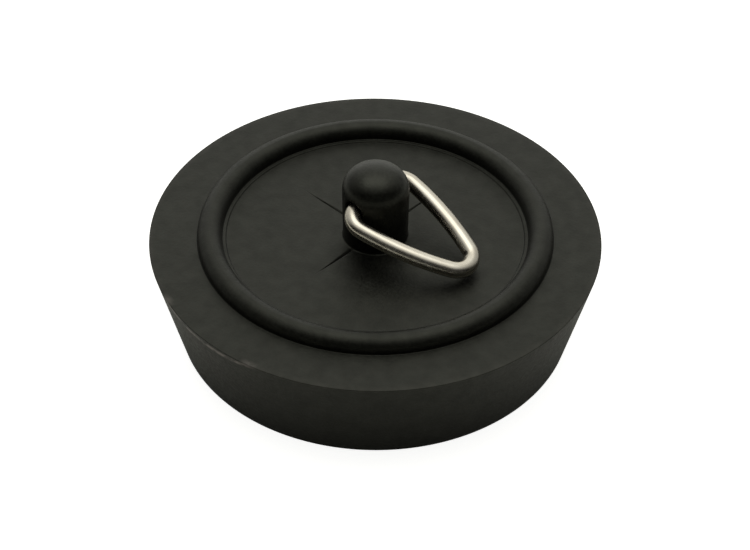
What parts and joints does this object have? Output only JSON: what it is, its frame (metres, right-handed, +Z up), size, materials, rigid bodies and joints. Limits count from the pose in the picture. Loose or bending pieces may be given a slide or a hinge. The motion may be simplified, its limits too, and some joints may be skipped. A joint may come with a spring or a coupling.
{
  "type": "sink plug",
  "caption": "Round tapered rubber plug for a sink or basin waste, with a raised ring, a domed centre post and a swinging wire pull triangle.",
  "frame": {"origin": "centre of the flat underside, where the plug stands on a level surface", "axes": "+Z up along the plug's own axis, out of the waste; Y along the triangle's hinge through the post; +X towards the triangle's apex as it lies at rest"},
  "size_m": [0.0508, 0.0508, 0.0209],
  "materials": {
    "black_rubber": "matte moulded rubber with a fine grain",
    "nickel_wire": "bright nickel plate on drawn steel wire"
  },
  "bodies": {
    "plug": {"plug_body": "black_rubber"},
    "triangle": {"pull_triangle": "nickel_wire"}
  },
  "joints": [
    {"name": "triangle_swing", "type": "hinge", "parent": "plug", "child": "triangle", "pos_m": [-0.00056, 0, 0.01685], "axis": [0, -1, 0], "range_deg": [-1.6, 215.4]}
  ]
}
